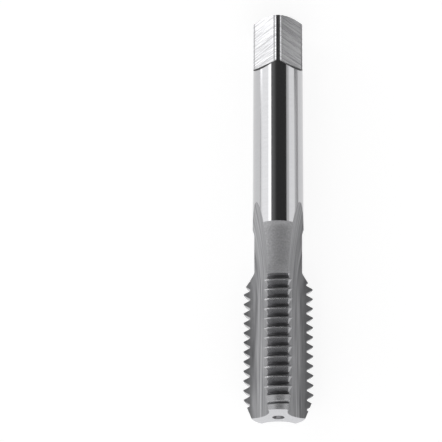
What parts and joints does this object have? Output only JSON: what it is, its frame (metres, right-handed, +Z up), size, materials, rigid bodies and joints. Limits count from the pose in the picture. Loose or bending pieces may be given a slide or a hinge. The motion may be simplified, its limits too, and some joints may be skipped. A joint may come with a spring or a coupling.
{
  "type": "thread tap",
  "caption": "Straight-flute hand tap for cutting a metric thread, with a short lead, a plain shank and a driving square.",
  "frame": {"origin": "on the tool axis, in the plane of the tip's end face", "axes": "+Y along the tool axis from the tip to the driving square; +Z up as the tap lies at rest on two lands, through the middle of the third land and one corner of the square; +X completes the frame"},
  "size_m": [0.012, 0.075, 0.0108],
  "materials": {
    "tool_steel": "hardened tool steel, ground thread and flutes, polished shank"
  },
  "bodies": {
    "root": {"thread_tap": "tool_steel"}
  },
  "joints": []
}
